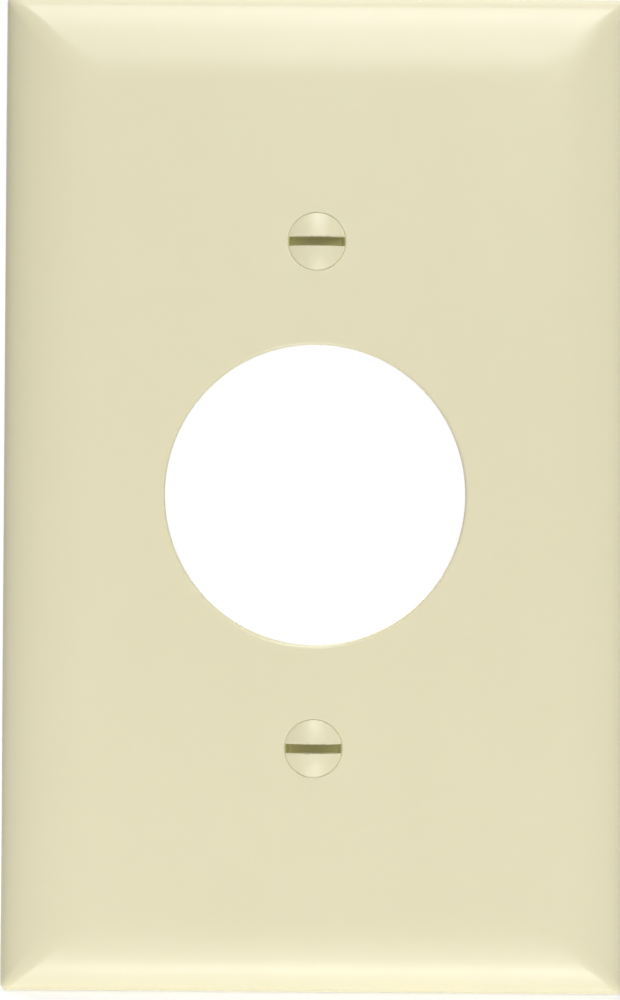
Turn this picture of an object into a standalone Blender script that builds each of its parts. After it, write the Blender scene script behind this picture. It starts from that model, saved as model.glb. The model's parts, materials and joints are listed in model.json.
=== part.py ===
"""Wall plate cover for one round receptacle, with its two captive mounting screws.

Frame: the origin is the plate's centre in the plane of the wall, +Z is up, +X is to the right of
someone who faces the wall, and the room is on the -Y side. A "height" is a distance from the wall
plane towards the room, so a point at height h has y = -h, and what reaches into the wall has a
height below zero. Lengths are in metres.
"""

import math

import bmesh
import bpy
from mathutils import Matrix, Vector

MM = 0.001
INCH = 25.4 * MM
TURN = 2 * math.pi

# Plate: outline, shell and the rolled edge all round
PLATE_WIDTH = 2.9375 * INCH
PLATE_LENGTH = 4.6875 * INCH
PLATE_HEIGHT = 5.6 * MM
CORNER_RADIUS = 0.8 * MM
CORNER_SOFTENING = 0.25  # how much the corner radius grows for each unit of inset
ROLL_WIDTH = 10.0 * MM
ROLL_DROP = 3.8 * MM
FACE_THICKNESS = 2.1 * MM
RIM_THICKNESS = 2.0 * MM
INNER_ROLL_INSET = 10.5 * MM
INNER_ROLL_DROP = 2.0 * MM

# Plate: receptacle opening and its collar
OPENING_RADIUS = 1.406 * INCH / 2
OPENING_ROUNDING = 0.5 * MM
COLLAR_THICKNESS = 1.6 * MM
COLLAR_END = 1.3 * MM

# Plate: screw bosses and ribs
SCREW_SPACING = 2.375 * INCH
BOSS_RADIUS = 4.5 * MM
BOSS_END = 1.2 * MM
SCREW_HOLE_RADIUS = 2.0 * MM
COUNTERSINK_RADIUS = 3.7 * MM
COUNTERSINK_ANGLE = math.radians(82)
CUTTER_OVERRUN = 1.0 * MM
RIB_END = COLLAR_END
RIB_ROOT_WIDTH = 1.4 * MM
RIB_TIP_WIDTH = 1.0 * MM
RIB_END_INSET = RIM_THICKNESS + 0.1 * MM
SIDE_RIB_OFFSET = 23.0 * MM
BITE = 0.3 * MM  # how far a rib or boss runs into the wall that it joins

# Screw: number 6-32 oval head machine screw, half an inch long
THREAD_RADIUS = 0.138 * INCH / 2
THREAD_PITCH = INCH / 32
THREAD_DEPTH = 0.54127 * THREAD_PITCH
THREAD_CREST = 1 / 8  # shares of a pitch
THREAD_ROOT = 1 / 4
SCREW_LENGTH = 0.5 * INCH
HEAD_RADIUS = 3.4 * MM
HEAD_EDGE = 0.15 * MM
HEAD_SEAT = 0.05 * MM  # how far the head's edge lies below the face
DOME_HEIGHT = 1.0 * MM
NECK_RADIUS = 1.48 * MM
NECK_END = 2.6 * MM
SLOT_WIDTH = 1.1 * MM
SLOT_DEPTH = 1.6 * MM

# Retaining washer on the screw's thread
RETAINER_RADIUS = 0.25 * INCH / 2
RETAINER_THICKNESS = INCH / 32
RETAINER_EDGE = 0.12 * MM
RETAINER_BORE_RADIUS = THREAD_RADIUS + 0.07 * MM
RETAINER_FRONT = -5.0 * MM

# Mesh resolution
SIDE_STEPS = 12  # along each straight side, an even number
CORNER_STEPS = 6
LOOP_POINTS = 4 * (SIDE_STEPS + CORNER_STEPS)
ROLL_STEPS = 8
INNER_ROLL_STEPS = 5
ROUNDING_STEPS = 3
HOLE_POINTS = 36
SCREW_POINTS = 20
DOME_STEPS = 5
WELD_DISTANCE = 0.001 * MM
SHARP_ANGLE = math.radians(30)

INNER_FACE = PLATE_HEIGHT - FACE_THICKNESS
COLLAR_RADIUS = OPENING_RADIUS + COLLAR_THICKNESS
MINOR_RADIUS = THREAD_RADIUS - THREAD_DEPTH
HEAD_TOP_EDGE = PLATE_HEIGHT - HEAD_SEAT
DOME_TOP = HEAD_TOP_EDGE + DOME_HEIGHT
SCREW_TIP = HEAD_TOP_EDGE - SCREW_LENGTH
CONE_SLOPE = math.tan(COUNTERSINK_ANGLE / 2)


def clear_scene():
    for old in list(bpy.data.objects):
        bpy.data.objects.remove(old)


def make_material(name, colour, roughness, metallic=0.0):
    material = bpy.data.materials.new(name)
    material.use_nodes = True
    shader = material.node_tree.nodes["Principled BSDF"]
    shader.inputs["Base Color"].default_value = (*colour, 1)
    shader.inputs["Roughness"].default_value = roughness
    shader.inputs["Metallic"].default_value = metallic
    return material


def add_object(name, shape, material=None, parent=None):
    """Turns a bmesh into an object of the scene, faces out and round parts shaded smooth."""
    bmesh.ops.remove_doubles(shape, verts=shape.verts, dist=WELD_DISTANCE)
    bmesh.ops.recalc_face_normals(shape, faces=shape.faces)
    mesh = bpy.data.meshes.new(name)
    shape.to_mesh(mesh)
    shape.free()
    mesh.shade_smooth()
    mesh.set_sharp_from_angle(angle=SHARP_ANGLE)
    obj = bpy.data.objects.new(name, mesh)
    if material:
        mesh.materials.append(material)
    obj.parent = parent
    bpy.context.scene.collection.objects.link(obj)
    return obj


def add_boolean(obj, name, shape, operation, z=0.0):
    """Joins or cuts an object with a hidden helper, placed beside it at a distance up."""
    helper = add_object(name, shape, parent=obj.parent)
    helper.location.z = z
    helper.hide_render = True
    helper.display_type = "WIRE"
    modifier = obj.modifiers.new(name, "BOOLEAN")
    modifier.object = helper
    modifier.operation = operation
    modifier.solver = "EXACT"


def point(x, height, z):
    return Vector((x, -height, z))


def add_loop(shape, points):
    return [shape.verts.new(p) for p in points]


def skin(shape, loops):
    """Joins each loop of vertices to the next with quads."""
    for first, second in zip(loops, loops[1:]):
        count = len(first)
        for i in range(count):
            j = (i + 1) % count
            shape.faces.new((first[i], first[j], second[j], second[i]))


def cap_ends(shape, loops):
    shape.faces.new(loops[0])
    shape.faces.new(loops[-1])


def circle(radius, height, count=LOOP_POINTS):
    """Points of a circle round the Y axis, counted from +X towards +Z."""
    angles = [TURN * i / count for i in range(count)]
    return [point(radius * math.cos(a), height, radius * math.sin(a)) for a in angles]


def turned(profile, count, ring=False):
    """A solid turned round the Y axis from (radius, height) points, or a ring of that section."""
    shape = bmesh.new()
    loops = [add_loop(shape, circle(*p, count)) for p in profile]
    if ring:
        loops.append(loops[0])
    else:
        cap_ends(shape, loops)
    skin(shape, loops)
    return shape


def rounded_rectangle(inset, height):
    """A loop round the plate at an inset from its outline, from the middle of the +X side on."""
    radius = CORNER_RADIUS + CORNER_SOFTENING * inset
    half_side = SIDE_STEPS // 2
    loop = []
    for quarter in range(4):
        reach, along = PLATE_WIDTH / 2 - inset, PLATE_LENGTH / 2 - inset
        if quarter % 2:
            reach, along = along, reach
        flat = [(reach, (along - radius) * i / half_side) for i in range(half_side)]
        for i in range(CORNER_STEPS):
            angle = TURN / 4 * i / CORNER_STEPS
            across = reach - radius + radius * math.cos(angle)
            flat.append((across, along - radius + radius * math.sin(angle)))
        flat += [((reach - radius) * (1 - i / half_side), along) for i in range(half_side)]
        turn = Matrix.Rotation(-TURN / 4 * quarter, 3, "Y")
        loop += [turn @ point(u, height, v) for u, v in flat]
    return loop


def roll(outer_inset, inner_inset, top, drop, steps):
    """(inset, height) points of a quarter ellipse that rises from the side wall to the face."""
    points = []
    for i in range(steps + 1):
        angle = TURN / 4 * i / steps
        inset = inner_inset - (inner_inset - outer_inset) * math.cos(angle)
        points.append((inset, top - drop + drop * math.sin(angle)))
    return points


def plate_shell():
    """The hollow plate with its opening and collar, as one skin that closes on itself."""
    outside = [(0, 0), *roll(0, ROLL_WIDTH, PLATE_HEIGHT, ROLL_DROP, ROLL_STEPS)]
    inside = [(RIM_THICKNESS, 0)]
    inside += roll(
        RIM_THICKNESS, INNER_ROLL_INSET, INNER_FACE, INNER_ROLL_DROP, INNER_ROLL_STEPS
    )
    opening = []
    for i in range(ROUNDING_STEPS + 1):
        angle = TURN / 4 * i / ROUNDING_STEPS
        radius = OPENING_RADIUS + OPENING_ROUNDING * (1 - math.sin(angle))
        opening.append((radius, PLATE_HEIGHT - OPENING_ROUNDING * (1 - math.cos(angle))))
    opening += [
        (OPENING_RADIUS, COLLAR_END),
        (COLLAR_RADIUS, COLLAR_END),
        (COLLAR_RADIUS, INNER_FACE),
    ]
    shape = bmesh.new()
    loops = [add_loop(shape, rounded_rectangle(*p)) for p in outside]
    loops += [add_loop(shape, circle(*p)) for p in opening]
    loops += [add_loop(shape, rounded_rectangle(*p)) for p in reversed(inside)]
    skin(shape, loops + loops[:1])
    return shape


def rib(start, end):
    """A drafted rib on the back of the face, between two (x, z) points."""
    start, end = (Vector((x, 0, z)) for x, z in (start, end))
    across = (end - start).normalized().cross(Vector((0, 1, 0)))
    shape = bmesh.new()
    loops = []
    for width, height in ((RIB_TIP_WIDTH, RIB_END), (RIB_ROOT_WIDTH, INNER_FACE + BITE)):
        side, lift = across * width / 2, point(0, height, 0)
        corners = (start - side, end - side, end + side, start + side)
        loops.append(add_loop(shape, [corner + lift for corner in corners]))
    skin(shape, loops)
    cap_ends(shape, loops)
    return shape


def rib_lines():
    """Ends of the ribs: two from rim to rim, and those that brace each boss on four sides."""
    side_end = PLATE_WIDTH / 2 - RIB_END_INSET
    top_end = PLATE_LENGTH / 2 - RIB_END_INSET
    boss = BOSS_RADIUS - BITE
    screw_z = SCREW_SPACING / 2
    for sign in (1, -1):
        yield (sign * SIDE_RIB_OFFSET, -top_end), (sign * SIDE_RIB_OFFSET, top_end)
        yield (0, sign * (COLLAR_RADIUS - BITE)), (0, sign * (screw_z - boss))
        yield (0, sign * (screw_z + boss)), (0, sign * top_end)
        for side in (1, -1):
            yield (side * boss, sign * screw_z), (side * side_end, sign * screw_z)


def screw_hole():
    """The countersunk screw hole, as a cutter that reaches past both ends of its boss."""
    countersink_depth = (COUNTERSINK_RADIUS - SCREW_HOLE_RADIUS) / CONE_SLOPE
    profile = [
        (SCREW_HOLE_RADIUS, BOSS_END - CUTTER_OVERRUN),
        (SCREW_HOLE_RADIUS, PLATE_HEIGHT - countersink_depth),
        (COUNTERSINK_RADIUS + CUTTER_OVERRUN * CONE_SLOPE, PLATE_HEIGHT + CUTTER_OVERRUN),
    ]
    return turned(profile, HOLE_POINTS)


def build_plate(material):
    plate = add_object("plate", plate_shell(), material)
    for i, line in enumerate(rib_lines()):
        add_boolean(plate, f"rib_{i}", rib(*line), "UNION")
    boss_profile = [(BOSS_RADIUS, BOSS_END), (BOSS_RADIUS, INNER_FACE + BITE)]
    for name, z in (("upper", SCREW_SPACING / 2), ("lower", -SCREW_SPACING / 2)):
        add_boolean(plate, f"{name}_boss", turned(boss_profile, HOLE_POINTS), "UNION", z)
        add_boolean(plate, f"{name}_screw_hole", screw_hole(), "DIFFERENCE", z)


def add_thread(shape, bottom, top):
    """A right-hand thread that runs out at both ends into circles of its minor radius."""
    flank = (1 - THREAD_CREST - THREAD_ROOT) / 2
    profile = [
        (0, THREAD_RADIUS),
        (THREAD_CREST, THREAD_RADIUS),
        (THREAD_CREST + flank, MINOR_RADIUS),
        (1 - flank, MINOR_RADIUS),
    ]
    corners = len(profile)
    turns = math.ceil((top - bottom) / THREAD_PITCH) + 2
    rows = []
    for row in range(corners * turns):
        share, radius = profile[row % corners]
        points = []
        for i in range(SCREW_POINTS + 1):
            angle = TURN * i / SCREW_POINTS
            height = bottom + THREAD_PITCH * (row // corners + share + i / SCREW_POINTS - 1)
            height = min(max(height, bottom), top)
            run_out = MINOR_RADIUS + min(height - bottom, top - height)
            reach = min(radius, run_out)
            points.append(point(reach * math.cos(angle), height, reach * math.sin(angle)))
        rows.append(add_loop(shape, points))
    for low, high in zip(rows, rows[1:]):
        for i in range(SCREW_POINTS):
            shape.faces.new((low[i], low[i + 1], high[i + 1], high[i]))


def screw_shape():
    """The screw, from its tip to the top of its domed head, without the slot."""
    cone_top = HEAD_TOP_EDGE - HEAD_EDGE
    sphere_radius = (HEAD_RADIUS**2 + DOME_HEIGHT**2) / (2 * DOME_HEIGHT)
    dome_angle = math.asin(HEAD_RADIUS / sphere_radius)
    profile = [
        (MINOR_RADIUS, NECK_END),
        (NECK_RADIUS, NECK_END + NECK_RADIUS - MINOR_RADIUS),
        (NECK_RADIUS, cone_top - (HEAD_RADIUS - NECK_RADIUS) / CONE_SLOPE),
        (HEAD_RADIUS, cone_top),
    ]
    for i in range(DOME_STEPS):
        angle = dome_angle * (1 - i / DOME_STEPS)
        height = DOME_TOP - sphere_radius * (1 - math.cos(angle))
        profile.append((sphere_radius * math.sin(angle), height))
    tip = circle(MINOR_RADIUS, SCREW_TIP, SCREW_POINTS)
    shape = bmesh.new()
    loops = [add_loop(shape, circle(*p, SCREW_POINTS)) for p in profile]
    skin(shape, loops)
    cap_ends(shape, [add_loop(shape, tip), loops[-1]])
    add_thread(shape, SCREW_TIP, NECK_END)
    return shape


def slot_cutter():
    centre = point(0, DOME_TOP, 0)
    size = Vector((3 * HEAD_RADIUS, 2 * SLOT_DEPTH, SLOT_WIDTH))
    shape = bmesh.new()
    bmesh.ops.create_cube(shape, matrix=Matrix.LocRotScale(centre, None, size))
    return shape


def retainer_shape():
    back = RETAINER_FRONT - RETAINER_THICKNESS
    profile = [
        (RETAINER_BORE_RADIUS, RETAINER_FRONT),
        (RETAINER_RADIUS - RETAINER_EDGE, RETAINER_FRONT),
        (RETAINER_RADIUS, RETAINER_FRONT - RETAINER_EDGE),
        (RETAINER_RADIUS, back + RETAINER_EDGE),
        (RETAINER_RADIUS - RETAINER_EDGE, back),
        (RETAINER_BORE_RADIUS, back),
    ]
    return turned(profile, HOLE_POINTS, ring=True)


def build_screw(name, z, steel, nylon):
    """One screw and its retaining washer, on an empty that lies on the screw's axis."""
    axis = bpy.data.objects.new(f"{name}_axis", None)
    axis.location.z = z
    bpy.context.scene.collection.objects.link(axis)
    screw = add_object(f"{name}_screw", screw_shape(), steel, axis)
    add_boolean(screw, f"{name}_slot", slot_cutter(), "DIFFERENCE")
    add_object(f"{name}_retainer", retainer_shape(), nylon, axis)


def main():
    clear_scene()
    ivory = make_material("ivory_plastic", (0.77, 0.72, 0.50), 0.32)
    painted_steel = make_material("ivory_painted_steel", (0.77, 0.72, 0.50), 0.38)
    nylon = make_material("natural_nylon", (0.85, 0.84, 0.78), 0.45)
    build_plate(ivory)
    build_screw("upper", SCREW_SPACING / 2, painted_steel, nylon)
    build_screw("lower", -SCREW_SPACING / 2, painted_steel, nylon)


main()
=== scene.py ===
"""Looks of the wall plate cover: a moulded ivory plate, two painted screws and their washers.

Frame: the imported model's. The wall plane is y = 0, the room is on the -Y side, and +Z is up. A
"height" is a distance from the wall plane towards the room, so height h means y = -h. Metres.
"""

import json
import math

import bmesh
import bpy
from mathutils import Matrix, Vector


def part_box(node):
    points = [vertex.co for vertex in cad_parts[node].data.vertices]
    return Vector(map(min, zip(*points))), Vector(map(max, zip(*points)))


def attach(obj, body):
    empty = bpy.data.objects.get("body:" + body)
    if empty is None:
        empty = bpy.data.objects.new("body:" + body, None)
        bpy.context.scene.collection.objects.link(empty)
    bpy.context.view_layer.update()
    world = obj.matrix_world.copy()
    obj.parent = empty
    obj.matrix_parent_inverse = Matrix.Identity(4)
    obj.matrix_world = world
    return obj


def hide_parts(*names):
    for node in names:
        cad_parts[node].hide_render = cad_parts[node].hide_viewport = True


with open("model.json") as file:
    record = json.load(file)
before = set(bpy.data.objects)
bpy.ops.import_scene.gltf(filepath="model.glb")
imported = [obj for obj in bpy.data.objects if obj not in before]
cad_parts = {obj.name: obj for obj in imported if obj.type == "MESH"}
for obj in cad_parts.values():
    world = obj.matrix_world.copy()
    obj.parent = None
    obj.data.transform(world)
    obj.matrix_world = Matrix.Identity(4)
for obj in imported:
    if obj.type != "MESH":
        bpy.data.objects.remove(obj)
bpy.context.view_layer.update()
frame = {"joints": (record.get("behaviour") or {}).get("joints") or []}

MM = 0.001
TURN = 2 * math.pi

# Places that the frame gives
PLATE_LOW, PLATE_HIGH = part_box("plate")
WIDTH = PLATE_HIGH.x - PLATE_LOW.x
LENGTH = PLATE_HIGH.z - PLATE_LOW.z
FACE = -PLATE_LOW.y
SCREW_Z = {
    joint["child"]: joint["pos_m"][2] for joint in frame["joints"] if joint["type"] == "hinge"
}
SCREW_TIP = -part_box("upper_screw")[1].y
RETAINER_LOW, RETAINER_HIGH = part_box("upper_retainer")

# Plate: outline, shell and rolled edge
CORNER_RADIUS = 0.8 * MM
CORNER_SOFTENING = 0.25  # how much the corner radius grows for each unit of inset
ROLL_WIDTH = 10.0 * MM
ROLL_DROP = 3.8 * MM
INNER_FACE = FACE - 2.1 * MM
RIM_THICKNESS = 2.0 * MM
INNER_ROLL_INSET = 10.5 * MM
INNER_ROLL_DROP = 2.0 * MM
RIM_ROUNDING = 0.2 * MM

# Plate: opening, bosses and ribs
OPENING_RADIUS = 17.856 * MM
OPENING_ROUNDING = 0.4 * MM
COLLAR_THICKNESS = 1.6 * MM
RIB_END = 1.3 * MM
BOSS_RADIUS = 4.5 * MM
BOSS_END = 1.2 * MM
SCREW_HOLE_RADIUS = 2.0 * MM
COUNTERSINK_RADIUS = 3.53 * MM
CONE_SLOPE = math.tan(math.radians(41))
RIB_ROOT_WIDTH = 1.4 * MM
RIB_TIP_WIDTH = 1.0 * MM
RIB_END_INSET = RIM_THICKNESS + 0.1 * MM
SIDE_RIB_OFFSET = 23.0 * MM
BITE = 0.3 * MM  # how far a rib runs into the wall that it joins
EDGE_ROUNDING = 0.12 * MM
TIP_ROUNDING = 0.22 * MM
ROOT_ROUNDING = 0.4 * MM
RIB_FLARE = 1.5 * ROOT_ROUNDING
RIB_FOOT_SINK = 0.02 * MM  # keeps a rib's foot out of the plane of the inner face
DRAFT = 0.15 * MM  # how much wider a boss, a collar or the opening gets along its depth
BACK_MARGIN = 0.1 * MM  # tells the textured skin behind from the glossy one in front

# Plate: marks of the mould's ejector pins
EJECTOR_RADIUS = 1.75 * MM
EJECTOR_DEPTH = 0.06 * MM
EJECTOR_EDGE = 0.08 * MM
EJECTOR_SPOTS = ((11.5 * MM, 44.5 * MM), (18.3 * MM, 22.3 * MM))  # x and z, mirrored both ways

# Screw
HEAD_RADIUS = 3.4 * MM
HEAD_EDGE = 0.15 * MM
HEAD_TOP_EDGE = FACE - 0.05 * MM
DOME_HEIGHT = 1.0 * MM
DOME_TOP = HEAD_TOP_EDGE + DOME_HEIGHT
DOME_START = 0.985  # share of the dome's half angle at which its outermost loop lies
HEAD_ROUNDING = 0.05 * MM
CONE_FOOT_ROUNDING = 0.25 * MM
NECK_RADIUS = 1.48 * MM
NECK_END = 2.6 * MM
NECK_ROUNDING = 0.05 * MM
SLOT_WIDTH = 1.1 * MM
SLOT_DEPTH = 1.6 * MM
SLOT_ROUNDING = 0.05 * MM
THREAD_RADIUS = 1.7526 * MM
THREAD_PITCH = 25.4 * MM / 32
THREAD_DEPTH = 0.54127 * THREAD_PITCH
MINOR_RADIUS = THREAD_RADIUS - THREAD_DEPTH
CREST = 1 / 8  # of a pitch, like the next two
ROOT = 1 / 4
CORNER_BREAK = 0.025
PAINT_END = 4.4 * MM

# Retaining washer
RETAINER_CLEARANCE = 0.07 * MM  # between its bore and the crests of the thread
RETAINER_ROUNDING = 0.15 * MM
GATE_HALF_ANGLE = math.radians(14)  # of the flat that the moulding gate leaves on the rim

# Mesh resolution and tolerances
SIDE_STEPS = 12  # along each straight side, an even number
CORNER_STEPS = 10
ROLL_STEPS = 28
INNER_ROLL_STEPS = 12
ROUNDING_STEPS = 4
OPENING_POINTS = 144
HOLE_POINTS = 72
DOME_STEPS = 14
SHARP_ANGLE = math.radians(32)
MATCH = 0.001 * MM  # how far apart two places may be and still count as one
SEAM_WELD = 0.0005 * MM  # joins the ends of loops and threads
BOOLEAN_WELD = 0.002 * MM  # joins what the boolean solver leaves apart

# Colours
IVORY = (0.732, 0.688, 0.477)
IVORY_DEEP = (0.726, 0.681, 0.470)
# painted shade: the dark colour laid deep in the countersinks and inside the slots
PAINTED_SHADE = (0.42, 0.39, 0.15)
STEEL = (0.40, 0.40, 0.39)
STRAW = (0.42, 0.39, 0.31)
MILK = (0.84, 0.82, 0.74)
MILK_DEEP = (0.78, 0.76, 0.67)

# Painted shade in the countersinks, round the screw heads: where it starts and is full, below
# the face
SINK_SHADE_DEPTHS = (0.1 * MM, 0.3 * MM)
SINK_SHADE_FADE = 0.2 * MM  # beyond the mouth's edge

# Painted shade in the slot, and wear on a head: depths are below the top of its dome
SLOT_SHADE_START = 0.3 * MM  # the painted shade is full at the slot's floor
SLOT_SHADE_EDGE = (-0.06 * MM, 0.02 * MM)  # the fade across the slot's edge
WEAR_DEPTHS = (0.2 * MM, 0.9 * MM)  # where the wear is full, and where it ends
WEAR_WIDTH = 0.16 * MM

# Floor, light and camera
FLOOR_GAP = 0.1 * MM  # between the floor and the plate's bottom edge
FLOOR_RADIUS = 1.6
FLOOR_POINTS = 96
FLOOR_FADE = (0.2, 0.6)  # the radii between which the floor fades into the background
FLOOR_COLOR = (0.5, 0.5, 0.495)
FLOOR_ROUGHNESS = 0.75
FLOOR_GLOW = 0.45  # what the eye sees of a white table's own light
WHITE = (1, 1, 1, 1)
FILL = 0.05
REFLECTED = 1.0  # what a glossy surface reflects of the white room
LIGHT_DISTANCE = 1.0
SOFTBOXES = (
    # name, azimuth, lowest and highest elevation, width, radiance
    ("upper_front", 5, 15, 45, 0.40, 4.9),
    ("upper", 5, 45, 65, 0.40, 6.9),
    ("top", 5, 65, 85, 0.40, 5.1),
    ("overhead", 5, 99, 109, 0.40, 9.6),
    ("lower_front", 5, -45, -25, 0.40, 1.7),
    ("lower", 5, -55, -45, 0.40, 8.6),
    ("bottom", 5, -75, -55, 0.40, 3.2),
    ("underneath", 5, -97, -87, 0.40, 12),
    ("right", 60, -22, 22, 0.4, 0.5),
    ("rear", 205, 10, 50, 0.7, 3.4),
)
CAMERA_DISTANCE = 0.47  # from the face
CAMERA_NEAR = 0.01
PICTURE_HEIGHT = 118.9 * MM  # what the frame takes in at the face
SENSOR = 36.0
CAMERA_ROLL = math.radians(0.42)
CAMERA_X = -0.60 * MM
CAMERA_Z = -0.60 * MM


def point(x, height, z):
    return Vector((x, -height, z))


def rounded_path(corners, closed=False):
    """A path of (a, height) points through (a, height, radius) corners, rounded by arcs."""
    path = []
    for i, (a, height, radius) in enumerate(corners):
        here = Vector((a, height))
        if not radius:
            path.append(here)
            continue
        following = corners[(i + 1) % len(corners)] if closed else corners[i + 1]
        before = (Vector(corners[i - 1][:2]) - here).normalized()
        after = (Vector(following[:2]) - here).normalized()
        half_angle = before.angle(after) / 2
        centre = here + (before + after).normalized() * radius / math.sin(half_angle)
        spoke = here + before * radius / math.tan(half_angle) - centre
        sweep = math.pi - 2 * half_angle
        if before.cross(after) > 0:
            sweep = -sweep
        for step in range(ROUNDING_STEPS + 1):
            path.append(centre + Matrix.Rotation(sweep * step / ROUNDING_STEPS, 2) @ spoke)
    return path


def add_loop(shape, points):
    return [shape.verts.new(p) for p in points]


def skin(shape, loops):
    """Joins each loop of vertices to the next with quads."""
    for first, second in zip(loops, loops[1:]):
        count = len(first)
        for i in range(count):
            j = (i + 1) % count
            shape.faces.new((first[i], first[j], second[j], second[i]))


def circle(radius, height, count, x=0.0, z=0.0):
    angles = [TURN * i / count for i in range(count)]
    return [point(x + radius * math.cos(a), height, z + radius * math.sin(a)) for a in angles]


def turned_loops(shape, path, count, x=0.0, z=0.0):
    """Loops of a surface turned round an axis along Y. They are skinned, and returned."""
    loops = [add_loop(shape, circle(radius, height, count, x, z)) for radius, height in path]
    skin(shape, loops)
    return loops


def fill_between(shape, loops):
    """Fills the flat area inside the first loop and outside the others."""
    edges = []
    for loop in loops:
        for i, vertex in enumerate(loop):
            following = loop[(i + 1) % len(loop)]
            edge = shape.edges.get((vertex, following))
            edges.append(edge or shape.edges.new((vertex, following)))
    bmesh.ops.triangle_fill(shape, use_beauty=True, edges=edges)


def make_piece(name, shape):
    """Turns a bmesh into an object, with its faces turned outwards and shaded smooth."""
    bmesh.ops.recalc_face_normals(shape, faces=shape.faces)
    mesh = bpy.data.meshes.new(name)
    shape.to_mesh(mesh)
    shape.free()
    mesh.shade_smooth()
    piece = bpy.data.objects.new(name, mesh)
    bpy.context.scene.collection.objects.link(piece)
    return piece


def finish_normals(piece):
    """Keeps flat areas flat and rounded edges smooth, by weighting normals by face area."""
    piece.data.set_sharp_from_angle(angle=SHARP_ANGLE)
    weighted = piece.modifiers.new("weighted_normals", "WEIGHTED_NORMAL")
    weighted.mode = "FACE_AREA"
    weighted.keep_sharp = True


def apply_booleans(piece, helpers, operation):
    """Joins or cuts the piece with each helper in turn, and removes the helpers."""
    for helper in helpers:
        modifier = piece.modifiers.new(helper.name, "BOOLEAN")
        modifier.object = helper
        modifier.operation = operation
        modifier.solver = "MANIFOLD"
    bpy.context.view_layer.update()
    evaluated = piece.evaluated_get(bpy.context.evaluated_depsgraph_get())
    shape = bmesh.new()
    shape.from_mesh(evaluated.to_mesh())
    bmesh.ops.remove_doubles(shape, verts=shape.verts, dist=BOOLEAN_WELD)
    evaluated.to_mesh_clear()
    piece.modifiers.clear()
    shape.to_mesh(piece.data)
    shape.free()
    for helper in helpers:
        bpy.data.objects.remove(helper)


# The plate


def rounded_rectangle(inset, height):
    """A loop round the plate at an inset from its outline, from the middle of the +X side on."""
    radius = CORNER_RADIUS + CORNER_SOFTENING * inset
    half_side = SIDE_STEPS // 2
    loop = []
    for quarter in range(4):
        reach, along = WIDTH / 2 - inset, LENGTH / 2 - inset
        if quarter % 2:
            reach, along = along, reach
        flat = [(reach, (along - radius) * i / half_side) for i in range(half_side)]
        for i in range(CORNER_STEPS):
            angle = TURN / 4 * i / CORNER_STEPS
            across = reach - radius + radius * math.cos(angle)
            flat.append((across, along - radius + radius * math.sin(angle)))
        flat += [((reach - radius) * (1 - i / half_side), along) for i in range(half_side)]
        turn = Matrix.Rotation(-TURN / 4 * quarter, 3, "Y")
        loop += [turn @ point(u, height, v) for u, v in flat]
    return loop


def roll(outer_inset, inner_inset, top, drop, steps):
    """(inset, height) points of a quarter ellipse that rises from the side wall to the face."""
    points = []
    for i in range(steps + 1):
        angle = TURN / 4 * i / steps
        inset = inner_inset - (inner_inset - outer_inset) * math.cos(angle)
        points.append((inset, top - drop + drop * math.sin(angle)))
    return points


def edge_loops(shape):
    """The skin from the face, over the rolled edge and the rear rim, to the inner face.

    Its first and last loops are returned.
    """
    outside = roll(0, ROLL_WIDTH, FACE, ROLL_DROP, ROLL_STEPS)
    inside = roll(
        RIM_THICKNESS, INNER_ROLL_INSET, INNER_FACE, INNER_ROLL_DROP, INNER_ROLL_STEPS
    )
    rim = rounded_path(
        [
            (*outside[0], 0),
            (0, 0, RIM_ROUNDING),
            (RIM_THICKNESS, 0, RIM_ROUNDING),
            (*inside[0], 0),
        ]
    )
    path = [*reversed(outside), *rim[1:-1], *inside]
    loops = [add_loop(shape, rounded_rectangle(*p)) for p in path]
    skin(shape, loops)
    return loops[0], loops[-1]


def opening_loops(shape):
    """The skin of the opening and its collar. Its first and last loops are returned."""
    collar = OPENING_RADIUS + COLLAR_THICKNESS
    path = rounded_path(
        [
            (OPENING_RADIUS + 2 * OPENING_ROUNDING, FACE, 0),
            (OPENING_RADIUS, FACE, OPENING_ROUNDING),
            (OPENING_RADIUS + DRAFT, RIB_END, TIP_ROUNDING),
            (collar, RIB_END, TIP_ROUNDING),
            (collar + DRAFT, INNER_FACE, ROOT_ROUNDING),
            (collar + 2 * ROOT_ROUNDING, INNER_FACE, 0),
        ]
    )
    loops = turned_loops(shape, path, OPENING_POINTS)
    return loops[0], loops[-1]


def screw_hole_loops(shape, z):
    """The skin of a countersunk hole and its boss. Its first and last loops are returned."""
    cone_end = FACE - (COUNTERSINK_RADIUS - SCREW_HOLE_RADIUS) / CONE_SLOPE
    path = rounded_path(
        [
            (COUNTERSINK_RADIUS + 2 * EDGE_ROUNDING, FACE, 0),
            (COUNTERSINK_RADIUS, FACE, EDGE_ROUNDING),
            (SCREW_HOLE_RADIUS, cone_end, EDGE_ROUNDING),
            (SCREW_HOLE_RADIUS, BOSS_END, EDGE_ROUNDING),
            (BOSS_RADIUS, BOSS_END, TIP_ROUNDING),
            (BOSS_RADIUS + DRAFT, INNER_FACE, ROOT_ROUNDING),
            (BOSS_RADIUS + 2 * ROOT_ROUNDING, INNER_FACE, 0),
        ]
    )
    loops = turned_loops(shape, path, HOLE_POINTS, z=z)
    return loops[0], loops[-1]


def ejector_mark(shape, x, z):
    """A shallow round recess in the inner face. Its outer loop is returned."""
    path = [
        (EJECTOR_RADIUS, INNER_FACE),
        (EJECTOR_RADIUS - EJECTOR_EDGE / 3, INNER_FACE + EJECTOR_DEPTH / 2),
        (EJECTOR_RADIUS - EJECTOR_EDGE, INNER_FACE + EJECTOR_DEPTH),
    ]
    loops = turned_loops(shape, path, HOLE_POINTS, x, z)
    shape.faces.new(loops[-1])
    return loops[0]


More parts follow.
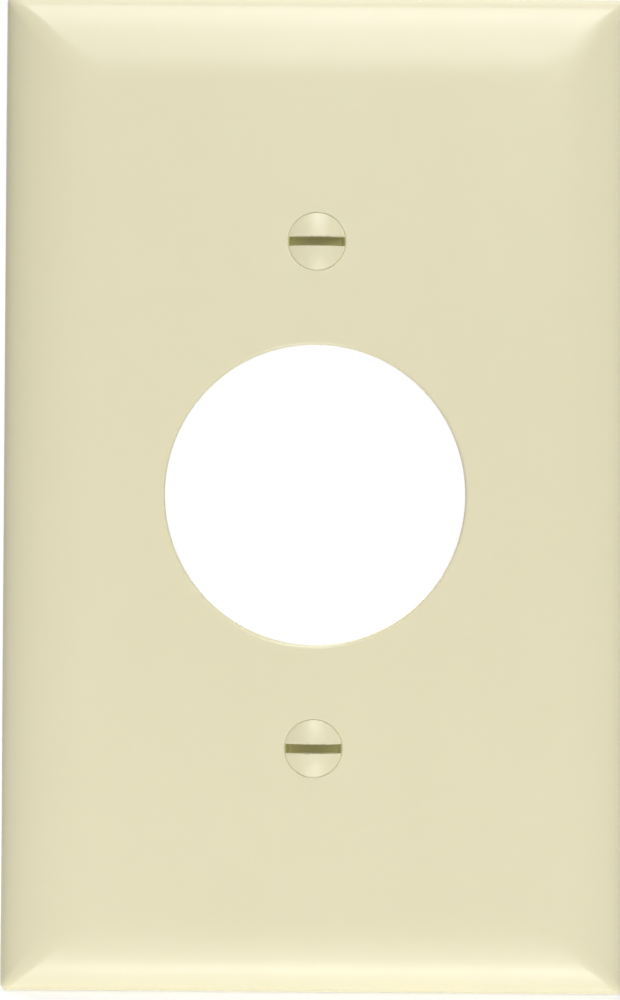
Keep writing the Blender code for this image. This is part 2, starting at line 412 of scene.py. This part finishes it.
def rib(name, start, end):
    """A drafted rib with a rounded tip and root, between two (x, z) points."""
    root, tip = RIB_ROOT_WIDTH / 2, RIB_TIP_WIDTH / 2
    flare = root + RIB_FLARE
    sunk = INNER_FACE + RIB_FOOT_SINK
    half = [
        (-flare, INNER_FACE + BITE, 0),
        (-flare, sunk, 0),
        (-root, sunk, ROOT_ROUNDING),
        (-tip, RIB_END, TIP_ROUNDING),
    ]
    other_half = [(-a, height, radius) for a, height, radius in reversed(half)]
    section = rounded_path(half + other_half)
    start, end = (Vector((x, 0, z)) for x, z in (start, end))
    across = (end - start).normalized().cross(Vector((0, 1, 0)))
    shape = bmesh.new()
    loops = []
    for place in (start, end):
        points = [place + across * a + point(0, height, 0) for a, height in section]
        loops.append(add_loop(shape, points))
        shape.faces.new(loops[-1])
    skin(shape, loops)
    return make_piece(name, shape)


def rib_lines():
    """Ends of the ribs: two from rim to rim, and those that brace each boss on four sides."""
    side_end = WIDTH / 2 - RIB_END_INSET
    top_end = LENGTH / 2 - RIB_END_INSET
    boss = BOSS_RADIUS - BITE
    collar = OPENING_RADIUS + COLLAR_THICKNESS - BITE
    screw_z = SCREW_Z["upper_screw"]
    for sign in (1, -1):
        yield (sign * SIDE_RIB_OFFSET, -top_end), (sign * SIDE_RIB_OFFSET, top_end)
        yield (0, sign * collar), (0, sign * (screw_z - boss))
        yield (0, sign * (screw_z + boss)), (0, sign * top_end)
        for side in (1, -1):
            yield (side * boss, sign * screw_z), (side * side_end, sign * screw_z)


def build_plate(front_material, back_material):
    """One closed skin, joined with its ribs: glossy in front, textured behind."""
    shape = bmesh.new()
    front, back = [], []
    for outer, inner in (
        edge_loops(shape),
        opening_loops(shape),
        *(screw_hole_loops(shape, z) for z in SCREW_Z.values()),
    ):
        front.append(outer)
        back.append(inner)
    for x, z in EJECTOR_SPOTS:
        for side in (1, -1):
            back += [ejector_mark(shape, side * x, sign * z) for sign in (1, -1)]
    fill_between(shape, front)
    fill_between(shape, back)
    plate = make_piece("moulded_plate", shape)
    ribs = [rib(f"rib_{i}", *line) for i, line in enumerate(rib_lines())]
    apply_booleans(plate, ribs, "UNION")
    plate.data.materials.append(front_material)
    plate.data.materials.append(back_material)
    for face in plate.data.polygons:
        face.use_smooth = True
        face.material_index = int(is_behind(face.center))
    finish_normals(plate)
    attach(plate, "plate")
    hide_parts("plate")


def is_behind(place):
    """Whether a point of the plate's skin faces the wall box, and not the room."""
    height = -place.y
    inset = min(WIDTH / 2 - abs(place.x), LENGTH / 2 - abs(place.z))
    inside_collar = math.hypot(place.x, place.z) < OPENING_RADIUS + 2 * DRAFT
    behind_face = height < INNER_FACE + BACK_MARGIN
    return behind_face and inset > BACK_MARGIN and not inside_collar


# The screws


def head_path():
    """(radius, height) points of the neck, the conical seat and the dome."""
    cone_top = HEAD_TOP_EDGE - HEAD_EDGE
    cone_foot = cone_top - (HEAD_RADIUS - NECK_RADIUS) / CONE_SLOPE
    path = rounded_path(
        [
            (MINOR_RADIUS, NECK_END, 0),
            (NECK_RADIUS, NECK_END + NECK_RADIUS - MINOR_RADIUS, NECK_ROUNDING),
            (NECK_RADIUS, cone_foot, CONE_FOOT_ROUNDING),
            (HEAD_RADIUS, cone_top, HEAD_ROUNDING),
            (HEAD_RADIUS, HEAD_TOP_EDGE, 0),
        ]
    )
    sphere_radius = (HEAD_RADIUS**2 + DOME_HEIGHT**2) / (2 * DOME_HEIGHT)
    dome_angle = math.asin(HEAD_RADIUS / sphere_radius)
    for i in range(DOME_STEPS):
        angle = dome_angle * (1 - i / DOME_STEPS) * DOME_START
        height = DOME_TOP - sphere_radius * (1 - math.cos(angle))
        path.append((sphere_radius * math.sin(angle), height))
    return path


def cut_slot(head):
    """Cuts a level slot across the top of the head."""
    cutter = bmesh.new()
    size = Vector((3 * HEAD_RADIUS, 2 * SLOT_DEPTH, SLOT_WIDTH))
    place = Matrix.LocRotScale(point(0, DOME_TOP, 0), None, size)
    bmesh.ops.create_cube(cutter, matrix=place)
    apply_booleans(head, [make_piece("slot", cutter)], "DIFFERENCE")


def is_slot_edge(edge):
    """Whether an edge of the cut head bounds the slot: a sharp one, on or between its walls."""
    on_slot = all(abs(v.co.z) < SLOT_WIDTH / 2 + MATCH for v in edge.verts)
    above = all(-v.co.y > DOME_TOP - SLOT_DEPTH - MATCH for v in edge.verts)
    return on_slot and above and edge.calc_face_angle(0) > SHARP_ANGLE


def screw_head():
    """The head and neck, with the slot cut and its edges rounded, open at the neck's end."""
    shape = bmesh.new()
    loops = turned_loops(shape, head_path(), HOLE_POINTS)
    shape.faces.new(loops[0])
    shape.faces.new(loops[-1])
    head = make_piece("head", shape)
    cut_slot(head)
    shape = bmesh.new()
    shape.from_mesh(head.data)
    bpy.data.objects.remove(head)
    bmesh.ops.bevel(
        shape,
        geom=[edge for edge in shape.edges if is_slot_edge(edge)],
        offset=SLOT_ROUNDING,
        segments=2,
        profile=0.5,
        affect="EDGES",
        clamp_overlap=True,
    )
    cap = [f for f in shape.faces if all(-v.co.y < NECK_END + MATCH for v in f.verts)]
    bmesh.ops.delete(shape, geom=cap, context="FACES")
    return shape


def thread_profile():
    """(share of a pitch, radius) points of one turn, with its four corners broken."""
    flank = (1 - CREST - ROOT) / 2
    inset = CORNER_BREAK / flank * THREAD_DEPTH
    return [
        (0, THREAD_RADIUS - inset / 4),
        (CORNER_BREAK, THREAD_RADIUS),
        (CREST - CORNER_BREAK, THREAD_RADIUS),
        (CREST, THREAD_RADIUS - inset / 4),
        (CREST + flank - CORNER_BREAK, MINOR_RADIUS + inset),
        (CREST + flank + CORNER_BREAK, MINOR_RADIUS),
        (1 - flank - CORNER_BREAK, MINOR_RADIUS),
        (1 - flank + CORNER_BREAK, MINOR_RADIUS + inset),
    ]


def add_thread(shape, bottom, top):
    """A right-hand thread that runs out at both ends into circles of its minor radius."""
    profile = thread_profile()
    corners = len(profile)
    turns = math.ceil((top - bottom) / THREAD_PITCH) + 2
    rows = []
    for row in range(corners * turns):
        share, radius = profile[row % corners]
        points = []
        for i in range(HOLE_POINTS + 1):
            angle = TURN * i / HOLE_POINTS
            height = bottom + THREAD_PITCH * (row // corners + share + i / HOLE_POINTS - 1)
            height = min(max(height, bottom), top)
            run_out = MINOR_RADIUS + min(height - bottom, top - height)
            reach = min(radius, run_out)
            points.append(point(reach * math.cos(angle), height, reach * math.sin(angle)))
        rows.append(add_loop(shape, points))
    for low, high in zip(rows, rows[1:]):
        for i in range(HOLE_POINTS):
            shape.faces.new((low[i], low[i + 1], high[i + 1], high[i]))


def build_screw(node, z, paint, zinc):
    """A screw with a painted head and a plated shank."""
    shape = screw_head()
    add_thread(shape, SCREW_TIP, NECK_END)
    shape.faces.new(add_loop(shape, circle(MINOR_RADIUS, SCREW_TIP, HOLE_POINTS)))
    bmesh.ops.remove_doubles(shape, verts=shape.verts, dist=SEAM_WELD)
    screw = make_piece(f"painted_{node}", shape)
    screw.location.z = z
    screw.data.materials.append(paint)
    screw.data.materials.append(zinc)
    for face in screw.data.polygons:
        face.material_index = int(-face.center.y < PAINT_END)
    finish_normals(screw)
    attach(screw, node)
    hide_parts(node)


# The retaining washers


def build_retainer(node, z, nylon):
    """A moulded ring with rounded edges and a gate scar, a shallow flat on its rim."""
    outer = (RETAINER_HIGH.x - RETAINER_LOW.x) / 2
    bore = THREAD_RADIUS + RETAINER_CLEARANCE
    front, back = -RETAINER_LOW.y, -RETAINER_HIGH.y
    corners = ((bore, front), (outer, front), (outer, back), (bore, back))
    path = rounded_path([(*corner, RETAINER_ROUNDING) for corner in corners], closed=True)
    shape = bmesh.new()
    loops = turned_loops(shape, path + path[:1], HOLE_POINTS)
    scar = outer * math.cos(GATE_HALF_ANGLE)
    for loop in loops:
        for vertex in loop:
            vertex.co.z = max(vertex.co.z, -scar)
    bmesh.ops.remove_doubles(shape, verts=shape.verts, dist=SEAM_WELD)
    washer = make_piece(f"nylon_{node}", shape)
    washer.location.z = z
    washer.data.materials.append(nylon)
    finish_normals(washer)
    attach(washer, node)
    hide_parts(node)


# Materials


class Nodes:
    """A material's node tree, with short ways to add a node and link it."""

    def __init__(self, name):
        self.material = bpy.data.materials.new(name)
        self.material.use_nodes = True
        self.tree = self.material.node_tree
        self.shader = self.tree.nodes["Principled BSDF"]
        self.coordinates = self.tree.nodes.new("ShaderNodeTexCoord").outputs["Object"]

    def link(self, output, socket):
        self.tree.links.new(output, socket)

    def noise(self, scale, detail=2, roughness=0.5, stretch=None):
        """A noise pattern's value, with scale in waves per metre."""
        node = self.tree.nodes.new("ShaderNodeTexNoise")
        node.inputs["Scale"].default_value = scale
        node.inputs["Detail"].default_value = detail
        node.inputs["Roughness"].default_value = roughness
        source = self.coordinates
        if stretch:
            mapping = self.tree.nodes.new("ShaderNodeMapping")
            mapping.inputs["Scale"].default_value = stretch
            self.link(source, mapping.inputs["Vector"])
            source = mapping.outputs["Vector"]
        self.link(source, node.inputs["Vector"])
        return node.outputs["Fac"]

    def ramp(self, value, low, high, to_low=0, to_high=1):
        """The value mapped smoothly from one range to another, and clamped."""
        node = self.tree.nodes.new("ShaderNodeMapRange")
        node.interpolation_type = "SMOOTHSTEP"
        for name, number in (
            ("From Min", low),
            ("From Max", high),
            ("To Min", to_low),
            ("To Max", to_high),
        ):
            node.inputs[name].default_value = number
        self.link(value, node.inputs["Value"])
        return node.outputs["Result"]

    def math(self, operation, first, second=None):
        """The result of an operation on one or two values, each a number or a socket."""
        node = self.tree.nodes.new("ShaderNodeMath")
        node.operation = operation
        for i, value in enumerate((first, second)):
            if isinstance(value, (int, float)):
                node.inputs[i].default_value = value
            elif value is not None:
                self.link(value, node.inputs[i])
        return node.outputs["Value"]

    def place(self):
        """The X, height and Z of a point, in the piece's own frame."""
        split = self.tree.nodes.new("ShaderNodeSeparateXYZ")
        self.link(self.coordinates, split.inputs["Vector"])
        height = self.math("MULTIPLY", split.outputs["Y"], -1)
        return split.outputs["X"], height, split.outputs["Z"]

    def mix(self, factor, first, second):
        """A colour between two, each a colour or a socket."""
        node = self.tree.nodes.new("ShaderNodeMix")
        node.data_type = "RGBA"
        self.link(factor, node.inputs["Factor"])
        for name, value in (("A", first), ("B", second)):
            socket = next(s for s in node.inputs if s.name == name and s.type == "RGBA")
            if isinstance(value, tuple):
                socket.default_value = (*value, 1)
            else:
                self.link(value, socket)
        return next(s for s in node.outputs if s.type == "RGBA")

    def bump(self, height, distance, strength, below=None):
        """A normal bent by a height pattern, on top of another normal if one is given."""
        node = self.tree.nodes.new("ShaderNodeBump")
        node.inputs["Strength"].default_value = strength
        node.inputs["Distance"].default_value = distance
        self.link(height, node.inputs["Height"])
        if below:
            self.link(below, node.inputs["Normal"])
        return node.outputs["Normal"]


def countersink_shade(nodes):
    """How much painted shade a point of the plate's front gets: only deep in a countersink,
    round the screw's head.
    """
    x, height, z = nodes.place()
    from_screw = nodes.math("SUBTRACT", nodes.math("ABSOLUTE", z), SCREW_Z["upper_screw"])
    squares = [nodes.math("MULTIPLY", value, value) for value in (x, from_screw)]
    reach = nodes.math("SQRT", nodes.math("ADD", *squares))
    near = nodes.ramp(reach, COUNTERSINK_RADIUS, COUNTERSINK_RADIUS + SINK_SHADE_FADE, 1, 0)
    start, full = SINK_SHADE_DEPTHS
    deep = nodes.ramp(height, FACE - full, FACE - start, 1, 0)
    return nodes.math("MULTIPLY", near, deep)


def plastic(name, roughness, grain, grain_depth, shaded_sinks=False):
    """Ivory plastic: a faint flow marbling in its colour, and a fine moulded grain.

    The grain is in waves per metre. On request the front gets painted shade deep in the
    countersinks.
    """
    nodes = Nodes(name)
    shader = nodes.shader.inputs
    flow = nodes.noise(55, detail=3, roughness=0.55, stretch=(1, 1, 0.45))
    marbling = nodes.ramp(flow, 0.35, 0.65)
    colour = nodes.mix(marbling, IVORY, IVORY_DEEP)
    if shaded_sinks:
        # painted shade deep in the countersinks, round the screw heads
        colour = nodes.mix(countersink_shade(nodes), colour, PAINTED_SHADE)
    nodes.link(colour, shader["Base Color"])
    handling = nodes.noise(240, detail=3)
    polish = nodes.ramp(handling, 0.2, 0.8, roughness - 0.01, roughness + 0.02)
    nodes.link(polish, shader["Roughness"])
    waviness = nodes.bump(nodes.noise(160, detail=1), distance=0.02 * MM, strength=0.25)
    texture = nodes.bump(nodes.noise(grain), grain_depth, strength=0.5, below=waviness)
    nodes.link(texture, shader["Normal"])
    shader["Subsurface Weight"].default_value = 0.12
    shader["Subsurface Radius"].default_value = (1.0, 0.8, 0.45)
    shader["Subsurface Scale"].default_value = 1.2 * MM
    shader["IOR"].default_value = 1.52
    return nodes.material


def head_paint():
    """Baked ivory enamel, worn through along the edges of the slot, with painted shade inside
    it.
    """
    nodes = Nodes("ivory_enamel")
    shader = nodes.shader.inputs
    _, height, z = nodes.place()
    across = nodes.math("ABSOLUTE", z)
    off_edge = nodes.math("ABSOLUTE", nodes.math("SUBTRACT", across, SLOT_WIDTH / 2))
    near_edge = nodes.ramp(off_edge, 0, WEAR_WIDTH, 1, 0)
    full, end = WEAR_DEPTHS
    exposed = nodes.ramp(height, DOME_TOP - end, DOME_TOP - full)
    patchy = nodes.ramp(nodes.noise(1500, detail=4, roughness=0.6), 0.47, 0.6)
    wear = nodes.math("MULTIPLY", nodes.math("MULTIPLY", near_edge, exposed), patchy)
    painted = nodes.mix(nodes.ramp(nodes.noise(900), 0.35, 0.65), IVORY, IVORY_DEEP)
    # painted shade inside the slot, darkest at its floor
    inside, outside = SLOT_SHADE_EDGE
    in_slot = nodes.ramp(across, SLOT_WIDTH / 2 + inside, SLOT_WIDTH / 2 + outside, 1, 0)
    sunk = nodes.ramp(height, DOME_TOP - SLOT_DEPTH, DOME_TOP - SLOT_SHADE_START, 1, 0)
    painted = nodes.mix(nodes.math("MULTIPLY", in_slot, sunk), painted, PAINTED_SHADE)
    nodes.link(nodes.mix(wear, painted, STEEL), shader["Base Color"])
    nodes.link(nodes.ramp(wear, 0.4, 0.7, 0, 0.9), shader["Metallic"])
    nodes.link(nodes.ramp(nodes.noise(2600), 0.3, 0.7, 0.3, 0.42), shader["Roughness"])
    peel = nodes.bump(nodes.noise(1800, detail=1), distance=0.012 * MM, strength=0.4)
    chipped = nodes.bump(wear, distance=-0.02 * MM, strength=0.6, below=peel)
    nodes.link(chipped, shader["Normal"])
    return nodes.material


def zinc_plate():
    """Clear zinc plating: a cool grey metal with a faint straw tint and dull patches."""
    nodes = Nodes("zinc_plated_steel")
    shader = nodes.shader.inputs
    tint = nodes.ramp(nodes.noise(700, detail=4, roughness=0.6), 0.4, 0.65)
    nodes.link(nodes.mix(tint, STEEL, STRAW), shader["Base Color"])
    dullness = nodes.ramp(nodes.noise(2200, detail=3), 0.3, 0.7, 0.24, 0.46)
    nodes.link(dullness, shader["Roughness"])
    grain = nodes.bump(nodes.noise(6000), distance=0.006 * MM, strength=0.4)
    nodes.link(grain, shader["Normal"])
    shader["Metallic"].default_value = 1.0
    return nodes.material


def natural_nylon():
    """Undyed nylon: milky, a little see-through, with a satin moulded skin."""
    nodes = Nodes("natural_nylon")
    shader = nodes.shader.inputs
    cloud = nodes.ramp(nodes.noise(600, detail=3), 0.3, 0.7)
    nodes.link(nodes.mix(cloud, MILK, MILK_DEEP), shader["Base Color"])
    nodes.link(nodes.ramp(nodes.noise(1800), 0.3, 0.7, 0.36, 0.52), shader["Roughness"])
    grain = nodes.bump(nodes.noise(5200), distance=0.01 * MM, strength=0.4)
    nodes.link(grain, shader["Normal"])
    shader["Subsurface Weight"].default_value = 0.45
    shader["Subsurface Radius"].default_value = (1.0, 0.95, 0.8)
    shader["Subsurface Scale"].default_value = 0.8 * MM
    shader["IOR"].default_value = 1.53
    return nodes.material


# The stage: floor, light and camera


def build_floor():
    """A pale round floor that fades into the white background."""
    shape = bmesh.new()
    bmesh.ops.create_circle(shape, cap_ends=True, segments=FLOOR_POINTS, radius=FLOOR_RADIUS)
    floor = make_piece("floor", shape)
    floor.location.z = PLATE_LOW.z - FLOOR_GAP
    nodes = Nodes("pale_floor")
    shader = nodes.shader.inputs
    shader["Base Color"].default_value = (*FLOOR_COLOR, 1)
    shader["Roughness"].default_value = FLOOR_ROUGHNESS
    shader["Emission Color"].default_value = WHITE
    strength = glow(nodes.tree, as_light=0, seen=FLOOR_GLOW, reflected=REFLECTED)
    nodes.link(strength, shader["Emission Strength"])
    length = nodes.tree.nodes.new("ShaderNodeVectorMath")
    length.operation = "LENGTH"
    nodes.link(nodes.coordinates, length.inputs[0])
    fade = nodes.ramp(length.outputs["Value"], *FLOOR_FADE, 1, 0)
    nodes.link(fade, shader["Alpha"])
    floor.data.materials.append(nodes.material)
    return floor


def glow(tree, as_light, seen, reflected):
    """A strength that differs for what lights the plate, the eye, and a glossy reflection."""
    path = tree.nodes.new("ShaderNodeLightPath")
    sums = []
    for ray, value in (("Is Camera Ray", seen), ("Is Glossy Ray", reflected)):
        node = tree.nodes.new("ShaderNodeMath")
        node.operation = "MULTIPLY_ADD"
        node.inputs[1].default_value = value - as_light
        node.inputs[2].default_value = as_light
        tree.links.new(path.outputs[ray], node.inputs[0])
        sums.append(node)
    tree.links.new(sums[0].outputs["Value"], sums[1].inputs[2])
    return sums[1].outputs["Value"]


def build_world():
    """White to the eye and in reflections, and a dim even fill as a light."""
    world = bpy.data.worlds.new("studio")
    bpy.context.scene.world = world
    world.use_nodes = True
    background = world.node_tree.nodes["Background"]
    background.inputs["Color"].default_value = WHITE
    strength = glow(world.node_tree, as_light=FILL, seen=1, reflected=REFLECTED)
    world.node_tree.links.new(strength, background.inputs["Strength"])


def add_softbox(name, azimuth, lowest, highest, width, radiance):
    """An area light that faces the plate. Azimuth 0 is the camera's side, and 90 is +X.

    Elevations above 90 degrees are behind the plate.
    """
    light = bpy.data.lights.new(name, "AREA")
    light.shape = "RECTANGLE"
    light.size = width
    light.size_y = 2 * LIGHT_DISTANCE * math.tan(math.radians(highest - lowest) / 2)
    light.energy = radiance * math.pi * light.size * light.size_y
    softbox = bpy.data.objects.new(name, light)
    a, e = math.radians(azimuth), math.radians((lowest + highest) / 2)
    way = Vector((math.sin(a) * math.cos(e), -math.cos(a) * math.cos(e), math.sin(e)))
    softbox.location = way * LIGHT_DISTANCE
    softbox.rotation_mode = "QUATERNION"
    softbox.rotation_quaternion = way.to_track_quat("Z", "Y")
    softbox.visible_camera = False
    bpy.context.scene.collection.objects.link(softbox)
    return softbox


def shine_through(softbox, floor):
    """Lets a light below the floor through it, as through a translucent shooting table."""
    passed = bpy.data.collections.new("let_through")
    passed.objects.link(floor)
    passed.collection_objects[0].light_linking.link_state = "EXCLUDE"
    softbox.light_linking.blocker_collection = passed
    softbox.light_linking.receiver_collection = passed


def build_camera():
    """A camera straight in front of the plate, turned a little about its line of sight."""
    camera = bpy.data.cameras.new("camera")
    camera.lens = SENSOR * CAMERA_DISTANCE / PICTURE_HEIGHT
    camera.sensor_width = SENSOR
    camera.clip_start = CAMERA_NEAR
    holder = bpy.data.objects.new("camera", camera)
    holder.location = (CAMERA_X, -FACE - CAMERA_DISTANCE, CAMERA_Z)
    facing = Matrix.Rotation(TURN / 4, 4, "X")
    roll_turn = Matrix.Rotation(CAMERA_ROLL, 4, "Z")
    holder.rotation_euler = (facing @ roll_turn).to_euler()
    bpy.context.scene.collection.objects.link(holder)
    bpy.context.scene.camera = holder


def main():
    # the front gets painted shade deep in its countersinks
    front = plastic("ivory_plastic", 0.29, grain=3800, grain_depth=0.004 * MM, shaded_sinks=True)
    back = plastic("ivory_plastic_textured", 0.5, grain=2600, grain_depth=0.03 * MM)
    paint, zinc, nylon = head_paint(), zinc_plate(), natural_nylon()
    build_plate(front, back)
    for node, z in SCREW_Z.items():
        build_screw(node, z, paint, zinc)
        build_retainer(node.replace("screw", "retainer"), z, nylon)
    build_world()
    floor = build_floor()
    for settings in SOFTBOXES:
        softbox = add_softbox(*settings)
        if softbox.location.z < floor.location.z:
            shine_through(softbox, floor)
    build_camera()
    bpy.context.scene.view_settings.view_transform = "Standard"


main()
